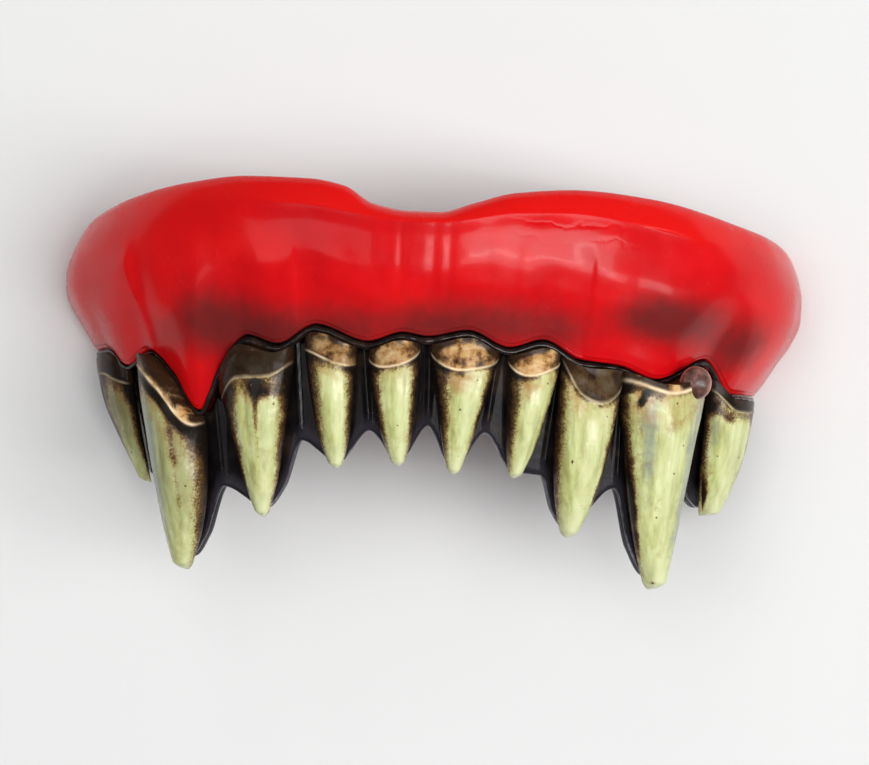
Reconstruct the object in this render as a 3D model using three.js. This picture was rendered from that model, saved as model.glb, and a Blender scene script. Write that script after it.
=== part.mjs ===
// Costume upper teeth: a red gum plate over a clear tooth strip that carries ten pointed teeth.
// Millimetres. The part lies on its back as it rests on a table: x runs across the mouth, y from the tooth
// tips to the gum's rim, and z from the two rear ends, which stand on z = 0, to the front teeth.
import * as THREE from "three";

// The arch is half an ellipse, measured on the gum's outer face at the gum line.
const ARCH_HALF_WIDTH = 29.4;
const ARCH_DEPTH = 23;

// The gum plate.
const GUM_HEIGHT = 12.8; // gum line datum to the rim's highest place
const GUM_WALL = 1.8;
const GUM_FLARE_FRONT = 1.5; // how far the plate swells outward at the front teeth
const GUM_FLARE_LEFT = 2.9; // and at its left and right rear ends
const GUM_FLARE_RIGHT = 3.8;
const GUM_EDGE_ROUND = 0.3; // rounding of the plate's lower edge
const RIM_BAND = 2.6; // width of the sloping band along the rim
const RIM_DEPTH = 2.4; // depth of the rolled rim from front to back
const ROOT_RELIEF = 0.55; // height of the ridges over the tooth roots

// The clear strip behind the teeth.
const STRIP_WALL = 1.2;
const STRIP_LAP = 3.4; // how far the strip reaches up behind the gum plate
const BEAD_HEIGHT = 1.1; // black margin bead under the gum line
const BEAD_STAND = 1.5; // how far the bead stands out from the strip's face
const WEB_SET_BACK = 1.6; // the strip's face behind the gum's outer face

// The teeth. The longest tooth is measured from the gum line datum to its tip.
const TOOTH_LENGTH = 21.5;
const TOOTH_WIDTH = 9;
const TOOTH_THICKNESS = 4.6;
const TIP_RADIUS = 0.45;

const GAP = 0.3; // clearance between pieces that are cemented together

// Mesh fineness.
const ARCH_COLUMNS = 84;
const TOOTH_SIDES = 14;

// The gum line round the arch: at in degrees from the middle, line as a share of the gum's height, and bead
// as a share of the full bead's height.
const GUM_LINE = [
  { at: -90, line: -0.22, bead: 0.5 },
  { at: -72, line: -0.2, bead: 0.5 },
  { at: -63, line: -0.31, bead: 0.4 },
  { at: -55, line: -0.2, bead: 0.35 },
  { at: -48, line: -0.35, bead: 0.4 },
  { at: -41.5, line: -0.59, bead: 0.7 },
  { at: -37, line: -0.27, bead: 1.2 },
  { at: -32, line: -0.07, bead: 1.3 },
  { at: -26, line: -0.12, bead: 1.2 },
  { at: -19, line: 0.02, bead: 1 },
  { at: -10, line: -0.08, bead: 1 },
  { at: -4, line: -0.01, bead: 1 },
  { at: 0, line: -0.03, bead: 1 },
  { at: 7, line: 0.02, bead: 0.9 },
  { at: 14, line: -0.08, bead: 1 },
  { at: 20, line: -0.02, bead: 1 },
  { at: 27, line: -0.14, bead: 0.9 },
  { at: 35, line: -0.17, bead: 0.6 },
  { at: 43, line: -0.25, bead: 0.6 },
  { at: 56, line: -0.1, bead: 0.8 },
  { at: 66, line: -0.33, bead: 0.6 },
  { at: 90, line: -0.34, bead: 0.6 },
];

// The rim: its height as a share of the gum's height, and the band under it as a share of the full band.
const GUM_RIM = [
  { at: -90, rim: 0.6, band: 1 },
  { at: -76, rim: 0.7, band: 1 },
  { at: -60, rim: 0.84, band: 1 },
  { at: -45, rim: 0.95, band: 0.9 },
  { at: -33, rim: 1, band: 0.8 },
  { at: -21, rim: 0.99, band: 0.85 },
  { at: -15, rim: 0.95, band: 0.8 },
  { at: -10, rim: 0.84, band: 0.4 },
  { at: -4, rim: 0.8, band: 0.35 },
  { at: 1, rim: 0.8, band: 0.35 },
  { at: 7, rim: 0.87, band: 0.5 },
  { at: 14, rim: 0.95, band: 0.65 },
  { at: 26, rim: 0.99, band: 0.8 },
  { at: 38, rim: 0.96, band: 1 },
  { at: 52, rim: 0.88, band: 1.1 },
  { at: 68, rim: 0.78, band: 1 },
  { at: 90, rim: 0.68, band: 1 },
];

// The plate's outer face from the gum line to the foot of the rim band: out as a share of the flare.
const GUM_PROFILE = [
  { up: 0, out: 0 },
  { up: 0.1, out: 0.16 },
  { up: 0.25, out: 0.42 },
  { up: 0.45, out: 0.78 },
  { up: 0.65, out: 0.98 },
  { up: 0.85, out: 1 },
  { up: 1, out: 0.93 },
];

// The rim band and the roll over the edge: up as a share of the band, inward as a share of the rim's depth.
const RIM_PROFILE = [
  { up: 0.45, inward: 0.16 },
  { up: 0.82, inward: 0.38 },
  { up: 1, inward: 0.66 },
  { up: 0.86, inward: 0.95 },
  { up: 0.45, inward: 1 },
];

// Heights of the inner face's points, as shares of the way from the gum line to the shoulder.
const GUM_INNER_ROWS = [0.95, 0.8, 0.62, 0.44, 0.26, 0.1, 0];

// Heights of the strip's points: on the lap as shares of it from the gum line up, and on its face and its
// inner side as shares of the way down to the edge.
const STRIP_LAP_ROWS = [1, 0.5, 0];
const STRIP_FACE_ROWS = [0, 0.5, 1];
const STRIP_INNER_ROWS = [1, 0.8, 0.6, 0.4, 0.25, 0.1];

// The margin bead: down as a share of its height, out as a share of how far it stands.
const BEAD_PROFILE = [
  { down: 0, out: 0.6 },
  { down: 0.45, out: 1 },
  { down: 1, out: 0.5 },
];

// The teeth from left to right. at: degrees round the arch. wide, long and thick: shares of the full sizes.
// side: how far the tip stands to the right of the collar, and bow: how far the middle does, as shares of the
// width. lean: inward lean per length. belly: 1 is a straight cone, higher is fuller. tip: a share of the tip
// radius. web: the strip's edge in the gap to the right, a share of the longest tooth. root: strength of the
// ridge in the gum above.
const TEETH = [
  {
    name: "left_tooth_5", at: -74, wide: 0.8, long: 0.66, thick: 0.66, side: 0.22,
    bow: 0, lean: 0.26, belly: 1.7, tip: 1, web: 0.5, root: 1,
  },
  {
    name: "left_tooth_4", at: -49.5, wide: 0.84, long: 1, thick: 0.95, side: 0.1,
    bow: 0.1, lean: 0.08, belly: 1.6, tip: 1, web: 0.64, root: 1,
  },
  {
    name: "left_tooth_3", at: -30.5, wide: 0.8, long: 0.77, thick: 0.9, side: 0.07,
    bow: 0.02, lean: 0.07, belly: 1.6, tip: 1, web: 0.44, root: 0.9,
  },
  {
    name: "left_tooth_2", at: -16.5, wide: 0.52, long: 0.56, thick: 0.72, side: 0.08,
    bow: 0, lean: 0.05, belly: 2.2, tip: 1, web: 0.39, root: 0.6,
  },
  {
    name: "left_tooth_1", at: -5.4, wide: 0.5, long: 0.54, thick: 0.7, side: 0.08,
    bow: 0, lean: 0.05, belly: 2.2, tip: 1, web: 0.36, root: 0.5,
  },
  {
    name: "right_tooth_1", at: 6.6, wide: 0.68, long: 0.565, thick: 0.76, side: -0.05,
    bow: 0, lean: 0.05, belly: 1.3, tip: 1, web: 0.38, root: 0.6,
  },
  {
    name: "right_tooth_2", at: 18.8, wide: 0.52, long: 0.57, thick: 0.74, side: -0.12,
    bow: 0, lean: 0.05, belly: 1.9, tip: 1, web: 0.54, root: 0.7,
  },
  {
    name: "right_tooth_3", at: 30, wide: 0.62, long: 0.8, thick: 0.9, side: -0.09,
    bow: -0.05, lean: 0.07, belly: 1.8, tip: 1, web: 0.58, root: 1,
  },
  {
    name: "right_tooth_4", at: 47, wide: 0.98, long: 1, thick: 1, side: 0.08,
    bow: 0, lean: 0.05, belly: 1.3, tip: 2, web: 0.56, root: 1,
  },
  {
    name: "right_tooth_5", at: 71.5, wide: 0.78, long: 0.7, thick: 0.64, side: -0.06,
    bow: 0, lean: 0.15, belly: 1.7, tip: 1, web: 0.4, root: 1,
  },
];

// Sections of a tooth from its collar to its tip: down as a share of its length, wide and thick as shares of
// its own, apart from the taper that its belly gives.
const TOOTH_SECTIONS = [
  { down: 0, wide: 0.9, thick: 0.42 },
  { down: 0.05, wide: 1, thick: 0.6 },
  { down: 0.14, wide: 0.98, thick: 0.72 },
  { down: 0.19, wide: 0.86, thick: 0.7 },
  { down: 0.32, wide: 0.86, thick: 0.92 },
  { down: 0.48, wide: 0.9, thick: 1 },
  { down: 0.64, wide: 0.95, thick: 1 },
  { down: 0.8, wide: 1, thick: 1 },
  { down: 0.93, wide: 1, thick: 1 },
  { down: 1, wide: 1, thick: 1 },
];
const ROOT_SPREAD = 0.36; // half the width of a root ridge, as a share of its tooth's width
const ROOT_FADE_FROM = 0.08; // where the ridges stand in their rise and fall at the gum line
const ROOT_FADE_TO = 0.96; // and at the shoulder
const WAIST = 0.3; // the widest line of a section, as a share of its thickness from the back
const TAPER_ROUNDING = 0.9;
const SWING_CURVE = 1.3; // how the sideways lean grows towards the tip
const WEB_BEHIND_TIP = 0.93; // how far down a tooth the strip backs it
const END_WEB = 0.34; // the strip's edge at its rear ends, as a share of the longest tooth

const radians = THREE.MathUtils.degToRad;

// A smooth curve through one column of a table, read against another, that never swings past its rows.
function along(rows, column, where, against = "at") {
  const last = rows.length - 1;
  if (where <= rows[0][against]) return rows[0][column];
  if (where >= rows[last][against]) return rows[last][column];
  const i = rows.findIndex((row) => row[against] > where) - 1;
  const run = (j) => rows[j + 1][against] - rows[j][against];
  const rate = (j) => (rows[j + 1][column] - rows[j][column]) / run(j);
  const slope = (j) => {
    if (j === 0 || j === last) return 0;
    const before = rate(j - 1);
    const after = rate(j);
    return before * after <= 0 ? 0 : (2 * before * after) / (before + after);
  };
  const t = (where - rows[i][against]) / run(i);
  const end = 3 * t ** 2 - 2 * t ** 3;
  const leave = (t ** 3 - 2 * t ** 2 + t) * run(i) * slope(i);
  const arrive = (t ** 3 - t ** 2) * run(i) * slope(i + 1);
  return THREE.MathUtils.lerp(rows[i][column], rows[i + 1][column], end) + leave + arrive;
}

// The point at an angle round the arch, at a height, and so far outward from the arch curve.
function archPoint(at, height, out) {
  const sine = Math.sin(radians(at));
  const cosine = Math.cos(radians(at));
  const outward = new THREE.Vector2(sine / ARCH_HALF_WIDTH, cosine / ARCH_DEPTH).normalize();
  return new THREE.Vector3(
    ARCH_HALF_WIDTH * sine + out * outward.x,
    height,
    ARCH_DEPTH * cosine + out * outward.y,
  );
}

// Millimetres along the arch for each degree.
function stride(at) {
  return radians(1) * Math.hypot(ARCH_HALF_WIDTH * Math.cos(radians(at)), ARCH_DEPTH * Math.sin(radians(at)));
}

const gumLine = (at) => GUM_HEIGHT * along(GUM_LINE, "line", at);
const rimHeight = (at) => GUM_HEIGHT * along(GUM_RIM, "rim", at);
const bandWidth = (at) => RIM_BAND * along(GUM_RIM, "band", at);

function flare(at) {
  const atEnd = at < 0 ? GUM_FLARE_LEFT : GUM_FLARE_RIGHT;
  return THREE.MathUtils.lerp(GUM_FLARE_FRONT, atEnd, Math.sin(radians(at)) ** 2);
}

const beadHeight = (at) => BEAD_HEIGHT * along(GUM_LINE, "bead", at);
const lean = (at) => along(TEETH, "lean", at);

// Height of the foot of the rim band.
const shoulder = (at) => rimHeight(at) - bandWidth(at);

// The gum's outer face without its root ridges, at a share of the way from the gum line to the shoulder.
const gumOut = (at, up) => flare(at) * along(GUM_PROFILE, "out", up, "up");

// The ridges that the tooth roots raise in the gum.
function rootRidge(at, up) {
  const fade = Math.sin(Math.PI * THREE.MathUtils.lerp(ROOT_FADE_FROM, ROOT_FADE_TO, up));
  const ridges = TEETH.map((tooth) => {
    const away = ((at - tooth.at) * stride(tooth.at)) / (ROOT_SPREAD * tooth.wide * TOOTH_WIDTH);
    return tooth.root * Math.exp(-(away ** 2));
  });
  return ROOT_RELIEF * fade * Math.max(...ridges);
}

// A closed body through rings of points. Each end is closed by rungs from one side of its ring to the other.
function loft(rings) {
  const size = rings[0].length;
  const faces = [];
  rings.slice(1).forEach((_, r) => {
    for (let k = 0; k < size; k++) {
      const here = r * size + k;
      const next = r * size + ((k + 1) % size);
      faces.push(here, here + size, next, next, here + size, next + size);
    }
  });
  const lastRing = (rings.length - 1) * size;
  for (let k = 0; k + 1 < size / 2; k++) {
    const far = size - 1 - k;
    faces.push(k, k + 1, far, far, k + 1, far - 1);
    faces.push(lastRing + k, lastRing + far, lastRing + k + 1);
    faces.push(lastRing + far, lastRing + far - 1, lastRing + k + 1);
  }
  const geometry = new THREE.BufferGeometry();
  const positions = rings.flat().flatMap((point) => point.toArray());
  geometry.setAttribute("position", new THREE.Float32BufferAttribute(positions, 3));
  geometry.setIndex(faces);
  return geometry;
}

// The angles of the sections, from one rear end to the other, of the pieces that run round the arch.
const SECTIONS_AT = Array.from({ length: ARCH_COLUMNS + 1 }, (_, i) => -90 + (180 * i) / ARCH_COLUMNS);

// The gum plate: up its outer face, over the rolled rim and down its inner face.
function gumSection(at) {
  const line = gumLine(at);
  const foot = shoulder(at);
  return [
    archPoint(at, line, -GUM_EDGE_ROUND),
    ...GUM_PROFILE.map(({ up }) => {
      const height = Math.max(THREE.MathUtils.lerp(line, foot, up), line + GUM_EDGE_ROUND);
      return archPoint(at, height, gumOut(at, up) + rootRidge(at, up));
    }),
    ...RIM_PROFILE.map(({ up, inward }) => {
      return archPoint(at, foot + up * bandWidth(at), gumOut(at, 1) - inward * RIM_DEPTH);
    }),
    ...GUM_INNER_ROWS.map((up) => {
      return archPoint(at, THREE.MathUtils.lerp(line, foot, up), gumOut(at, up) - GUM_WALL);
    }),
  ];
}

// The clear strip's face, which the teeth stand on, and its lower edge, which dips behind each tooth.
const stripFace = (at, height) => -WEB_SET_BACK - lean(at) * (gumLine(at) - height);

const tipAt = (tooth) => tooth.at + (tooth.side * TOOTH_WIDTH) / stride(tooth.at);

const STRIP_EDGE = [
  { at: -90, edge: -END_WEB },
  ...TEETH.flatMap((tooth, i) => {
    const dip = { at: tipAt(tooth), edge: -WEB_BEHIND_TIP * tooth.long };
    const next = TEETH[i + 1];
    return next ? [dip, { at: (tipAt(tooth) + tipAt(next)) / 2, edge: -tooth.web }] : [dip];
  }),
  { at: 90, edge: -END_WEB },
];
const stripEdge = (at) => TOOTH_LENGTH * along(STRIP_EDGE, "edge", at);

// The strip: down its inner side, and up its face, over the margin bead and up the lap behind the gum.
function stripSection(at) {
  const line = gumLine(at);
  const edge = stripEdge(at);
  const lap = (share) => {
    const height = line + share * STRIP_LAP;
    const up = (height - line) / (shoulder(at) - line);
    return { height, out: gumOut(at, up) - GUM_WALL - GAP };
  };
  const beadTop = line - GAP;
  const beadFoot = beadTop - beadHeight(at);
  const outer = [
    ...STRIP_LAP_ROWS.slice(0, -1).map(lap),
    { height: beadTop, out: lap(0).out },
    ...BEAD_PROFILE.map(({ down, out }) => {
      return { height: beadTop - down * beadHeight(at), out: -WEB_SET_BACK + out * BEAD_STAND };
    }),
    ...STRIP_FACE_ROWS.map((down) => {
      const height = THREE.MathUtils.lerp(beadFoot, edge, down);
      return { height, out: stripFace(at, height) };
    }),
  ];
  const inner = [
    ...STRIP_INNER_ROWS.map((down) => {
      const height = THREE.MathUtils.lerp(beadTop, edge, down);
      return { height, out: stripFace(at, height) };
    }),
    ...[...STRIP_LAP_ROWS].reverse().map(lap),
  ];
  return [
    ...outer.map(({ height, out }) => archPoint(at, height, out)),
    ...inner.map(({ height, out }) => archPoint(at, height, out - STRIP_WALL)),
  ].reverse();
}

// One tooth: its collar follows the margin bead, and its back lies on the strip's face.
function toothSection(tooth, { down, wide, thick }) {
  const tip = TIP_RADIUS * tooth.tip;
  const taper = (1 - down ** tooth.belly) ** TAPER_ROUNDING;
  const halfWidth = tip + ((tooth.wide * TOOTH_WIDTH) / 2 - tip) * wide * taper;
  const thickness = 2 * tip + (tooth.thick * TOOTH_THICKNESS - 2 * tip) * thick * taper;
  const swing = TOOTH_WIDTH * (tooth.side * down ** SWING_CURVE + tooth.bow * Math.sin(Math.PI * down));
  return Array.from({ length: TOOTH_SIDES }, (_, k) => {
    const turn = (2 * Math.PI * k) / TOOTH_SIDES;
    const at = tooth.at + (swing - halfWidth * Math.cos(turn)) / stride(tooth.at);
    const front = Math.sin(turn);
    const depth = front > 0 ? WAIST + (1 - WAIST) * front : WAIST * (1 - Math.sqrt(-front));
    const collarTop = gumLine(at) - GAP - beadHeight(at) - GAP;
    const height = THREE.MathUtils.lerp(collarTop, -tooth.long * TOOTH_LENGTH, down);
    return archPoint(at, height, stripFace(at, height) + GAP + depth * thickness);
  });
}

// Finishes.
const redGum = new THREE.MeshStandardMaterial({ color: 0xd3121c, roughness: 0.22, metalness: 0 });
const smokedStrip = new THREE.MeshStandardMaterial({ color: 0x1d130f, roughness: 0.15, metalness: 0 });
const stainedIvory = new THREE.MeshStandardMaterial({ color: 0xc9c486, roughness: 0.3, metalness: 0 });

function piece(name, geometry, material) {
  const mesh = new THREE.Mesh(geometry, material);
  mesh.name = name;
  return mesh;
}

const teeth = new THREE.Group();
teeth.add(
  piece("gum_plate", loft(SECTIONS_AT.map(gumSection)), redGum),
  piece("tooth_strip", loft(SECTIONS_AT.map(stripSection)), smokedStrip),
  ...TEETH.map((tooth) => {
    const rings = TOOTH_SECTIONS.map((section) => toothSection(tooth, section));
    return piece(tooth.name, loft(rings), stainedIvory);
  }),
);

// The origin is the middle of the part's box in x and y, on the plane that it rests on.
const box = new THREE.Box3().setFromObject(teeth);
const middle = box.getCenter(new THREE.Vector3());
teeth.position.set(-middle.x, -middle.y, -box.min.z);

const costumeTeeth = new THREE.Group();
costumeTeeth.add(teeth);

export default costumeTeeth;
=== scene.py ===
# Costume upper teeth, lying on their back: a wet-looking red gum plate, a smoky clear strip behind it with a
# black margin bead, and ten stained fangs. Sizes are millimetres until a mesh is made, which is in metres.
import math

import bpy
import numpy as np
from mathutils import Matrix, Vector, noise


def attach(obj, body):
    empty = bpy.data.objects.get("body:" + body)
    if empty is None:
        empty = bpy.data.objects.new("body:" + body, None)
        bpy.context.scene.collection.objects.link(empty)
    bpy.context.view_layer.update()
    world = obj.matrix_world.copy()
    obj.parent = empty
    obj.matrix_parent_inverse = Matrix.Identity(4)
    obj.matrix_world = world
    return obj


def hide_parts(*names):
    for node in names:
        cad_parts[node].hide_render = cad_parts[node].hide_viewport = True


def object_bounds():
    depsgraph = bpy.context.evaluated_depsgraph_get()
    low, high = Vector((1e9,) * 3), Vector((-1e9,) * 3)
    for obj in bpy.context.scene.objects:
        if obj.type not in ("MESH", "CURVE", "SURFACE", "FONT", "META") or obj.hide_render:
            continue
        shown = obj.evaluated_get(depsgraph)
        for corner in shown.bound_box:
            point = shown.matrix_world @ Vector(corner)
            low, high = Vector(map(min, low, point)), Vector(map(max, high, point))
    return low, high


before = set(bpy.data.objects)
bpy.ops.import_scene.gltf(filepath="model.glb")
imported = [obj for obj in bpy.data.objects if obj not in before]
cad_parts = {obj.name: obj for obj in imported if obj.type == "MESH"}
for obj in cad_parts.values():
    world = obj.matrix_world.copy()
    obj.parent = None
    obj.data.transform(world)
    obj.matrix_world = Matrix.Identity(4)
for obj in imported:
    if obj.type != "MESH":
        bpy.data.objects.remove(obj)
cad_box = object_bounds()

MM = 0.001

# The arch is half an ellipse, measured on the gum's outer face at the gum line.
ARCH_HALF_WIDTH = 29.4
ARCH_DEPTH = 23

# The gum plate.
GUM_HEIGHT = 12.8
GUM_WALL = 1.8
GUM_FLARE_FRONT = 1.5
GUM_FLARE_LEFT = 2.9
GUM_FLARE_RIGHT = 3.8
GUM_EDGE_ROUND = 0.3
RIM_BAND = 2.6
RIM_DEPTH = 2.4
SHOULDER_ROUNDS = 120
SHOULDER_ROWS = 11
SWELL_SIZE = 5
SWELL_HEIGHT = 0.07
ROOT_RELIEF = 0.16
ROOT_SPREAD = 0.36
ROOT_FADE = (0.08, 0.96)

# The clear strip, its margin bead and the lip along its lower edge.
STRIP_WALL = 1.2
STRIP_LAP = 3.4
WEB_SET_BACK = 1.6
FOLD_WIDTH = 0.22
FOLD_HEIGHT = 0.26
BEAD_RADIUS = 0.3
BEAD_UNEVENNESS = 0.34
LIP_RADIUS = 0.13
LIP_UNEVENNESS = 0.08
LIP_UP = 0.22
LIP_IN = 0.3
BEAD_LUMP_SIZE = 0.9
GAP = 0.3

# The teeth.
TOOTH_LENGTH = 21.5
TOOTH_WIDTH = 9
TOOTH_THICKNESS = 4.6
TIP_RADIUS = 0.45
WAIST = 0.3
TAPER_ROUNDING = 0.9
SWING_CURVE = 1.3
WEB_BEHIND_TIP = 0.93
END_WEB = 0.34
FIN_FROM = 25
TOOTH_STAND_OFF = GAP * 0.4
SECTION_LEDGE = 0.165
TIP_ROUNDING = 0.035
GROOVE_DEPTH = 0.25
GROOVE_ACROSS = -0.05
CREASE_DEPTH = 0.08
LEDGE_HEIGHT = 0.05
LUMP_SIZE = 1.5
LUMP_HEIGHT = 0.035

# The clear nub at the neck of the big right fang: its place round the arch in degrees, and its lengths.
NUB_AT = 48.8
NUB_HEIGHT = -3.4
NUB_OUT = 1.9
NUB_RADIUS = 1.38
NUB_STRETCH = (1, 1.05, 0.7)

# Fineness of the pieces.
GUM_COLUMNS = 541
GUM_EDGE_ROWS = 5
GUM_FACE_ROWS = 76
GUM_RIM_ROWS = 25
GUM_INNER_ROWS = 30
STRIP_COLUMNS = 721
STRIP_LAP_ROWS = 8
STRIP_FACE_ROWS = 34
STRIP_ROLL_ROWS = 7
STRIP_INNER_ROWS = 24
TOOTH_RINGS = 160
TOOTH_SIDES = 96
BEAD_STEPS = 420
BEAD_SIDES = 12
LIP_STEPS = 900
LIP_SIDES = 10
NUB_RINGS = 28
NUB_SIDES = 40

# Where the random patterns start. Each tooth adds its own number.
SWELL_SEED = 1
LUMP_SEED = 2
UNEVEN_SEED = 22
PATCH_SEED = 42
BEAD_SEED = 3
LIP_SEED = 5

# The part's own origin is the middle of its box.
SHIFT_X = (GUM_FLARE_LEFT - GUM_FLARE_RIGHT) / 2
SHIFT_Y = cad_box[0].y / MM + TOOTH_LENGTH


def table(columns, *rows):
    """Rows of values under named columns."""
    return [dict(zip(columns.split(), row)) for row in rows]


# The gum line round the arch. at: degrees from the middle. line: height, as a share of the gum's. bead: the
# margin bead's radius, as a share of the full one.
GUM_LINE = table(
    "at line bead",
    (-90, -0.22, 0.5),
    (-72, -0.2, 0.5),
    (-63, -0.31, 0.4),
    (-55, -0.2, 0.35),
    (-48, -0.35, 0.4),
    (-41.5, -0.59, 0.7),
    (-37, -0.27, 1.2),
    (-32, -0.07, 1.3),
    (-26, -0.12, 1.2),
    (-19, 0.02, 1),
    (-10, -0.08, 1),
    (-4, -0.01, 1),
    (0, -0.03, 1),
    (7, 0.02, 0.9),
    (14, -0.08, 1),
    (20, -0.02, 1),
    (27, -0.14, 0.9),
    (35, -0.17, 0.6),
    (43, -0.25, 0.6),
    (56, -0.1, 0.8),
    (66, -0.33, 0.6),
    (90, -0.34, 0.6),
)

# The rim: its height as a share of the gum's, and the band under it as a share of the full band.
GUM_RIM = table(
    "at rim band",
    (-90, 0.6, 1),
    (-76, 0.7, 1),
    (-60, 0.84, 1),
    (-45, 0.95, 0.9),
    (-33, 1, 0.8),
    (-21, 0.99, 0.85),
    (-15, 0.95, 0.8),
    (-10, 0.84, 0.4),
    (-4, 0.8, 0.35),
    (1, 0.8, 0.35),
    (7, 0.87, 0.5),
    (14, 0.95, 0.65),
    (26, 0.99, 0.8),
    (38, 0.96, 1),
    (52, 0.88, 1.1),
    (68, 0.78, 1),
    (90, 0.68, 1),
)

# The plate's outer face: up from the gum line to the shoulder, out as a share of the flare.
GUM_PROFILE = table(
    "up out", (0, 0), (0.1, 0.16), (0.25, 0.42), (0.45, 0.78), (0.65, 0.98), (0.85, 1), (1, 0.93)
)

# The rim band and the roll: up as a share of the band, inward as a share of the rim's depth.
RIM_PROFILE = table(
    "step up inward",
    (0, 0, 0),
    (1, 0.45, 0.16),
    (2, 0.82, 0.38),
    (3, 1, 0.66),
    (4, 0.86, 0.95),
    (5, 0.45, 1),
)

# The teeth from left to right, with the part's own values. at: degrees round the arch. wide, long, thick
# and tip: shares of the full sizes above. side: how far the tip swings to the right, and bow: how far the
# middle does, as shares of the full width. lean: how far inward it leans for each millimetre down. belly:
# how full its sides are. web: how far down the film reaches at its right. root: strength of the ridge over
# its root.
TEETH = table(
    "name node at wide long thick side bow lean belly tip web root",
    ("fang_left_5", "left_tooth_5", -74, 0.8, 0.66, 0.66, 0.22, 0, 0.26, 1.7, 1, 0.5, 1),
    ("fang_left_4", "left_tooth_4", -49.5, 0.84, 1, 0.95, 0.1, 0.1, 0.08, 1.9, 1.6, 0.64, 1),
    ("fang_left_3", "left_tooth_3", -30.5, 0.8, 0.77, 0.9, 0.07, 0.02, 0.07, 1.6, 1, 0.44, 0.9),
    ("fang_left_2", "left_tooth_2", -16.5, 0.52, 0.56, 0.72, 0.08, 0, 0.05, 2.2, 1, 0.39, 0.6),
    ("fang_left_1", "left_tooth_1", -5.4, 0.5, 0.54, 0.7, 0.08, 0, 0.05, 2.2, 1, 0.36, 0.5),
    ("fang_right_1", "right_tooth_1", 6.6, 0.68, 0.565, 0.76, -0.05, 0, 0.05, 1.3, 1, 0.38, 0.6),
    ("fang_right_2", "right_tooth_2", 18.8, 0.52, 0.57, 0.74, -0.12, 0, 0.05, 1.9, 1, 0.54, 0.7),
    ("fang_right_3", "right_tooth_3", 29.6, 0.64, 0.8, 0.9, -0.1, -0.03, 0.07, 2.7, 1.2, 0.58, 1),
    ("fang_right_4", "right_tooth_4", 45.4, 1.04, 1, 1, 0.12, -0.045, 0.05, 1.3, 2, 0.56, 1),
    ("fang_right_5", "right_tooth_5", 70, 0.92, 0.7, 0.64, -0.06, 0, 0.15, 2.4, 1.8, 0.4, 1),
)

# A tooth's width and thickness down its length, as shares of its own, before it tapers.
TOOTH_SECTIONS = table(
    "down wide thick",
    (0, 1, 0.56),
    (0.05, 1, 0.64),
    (0.1, 1, 0.7),
    (0.19, 0.96, 0.78),
    (0.32, 0.92, 0.92),
    (0.48, 0.92, 1),
    (0.64, 0.95, 1),
    (0.8, 1, 1),
    (1, 1, 1),
)

# How each tooth is stained. left and right: how far the brown reaches in from each side, as a share of the
# width. neck: how far it runs down below the collar. groove: strength of the stained valley down the
# middle. grey: strength of the grey streak, and streak: where across it runs. flank: grey down the right
# side, or down the left one if less than 0. shade: how much the whole tooth is darkened, partly brown paint
# and partly painted shade on the teeth turned away from the light. rust: strength of the orange tint under
# the collar. collar: brightness of the collar. ledge: how far down the collar ends, as a share of the
# length. droop: how much lower it hangs in the middle. tilt: how much lower on the left than on the right.
STAINS = table(
    "left right neck groove grey streak flank shade rust collar ledge droop tilt",
    (0.3, 0.5, 0.2, 0.2, 0.35, -0.5, 0, 0.76, 0, 0, 0.15, 0.02, 0),
    (0.06, 0.46, 0.2, 0.3, 0.3, -0.7, -0.9, 0.38, 0.4, 1, 0.065, 0, 0),
    (0.24, 0.28, 0.18, 0.8, 0, 0, 0, 0.04, 0.8, 0.03, 0.165, 0.02, 0.06),
    (0.45, 0.32, 0.05, 0.1, 0, 0, 0, 0.02, 0.7, 0.6, 0.125, 0.06, -0.02),
    (0.36, 0.3, 0.03, 0.1, 0, 0, 0, 0, 0.7, 0.75, 0.065, 0.14, 0.01),
    (0.5, 0.18, 0, 0.08, 0, 0, 0, 0, 0.9, 0.9, 0.05, 0.19, 0.01),
    (0.6, 0.12, 0, 0.05, 0, 0, 0, 0, 1, 1, 0.05, 0.155, 0.01),
    (0.34, 0.14, 0, 0.06, 0, 0, 0, 0, 0.6, 0.12, 0.025, 0.18, -0.015),
    (0.26, 0.03, 0, 0.1, 0.85, -0.3, 0.8, 0.02, 0.8, 1, 0.045, 0, 0),
    (0.32, 0.1, 0.1, 0.1, 0.6, -0.55, -0.5, 0, 0, 0, 0.085, 0.02, 0),
)

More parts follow.
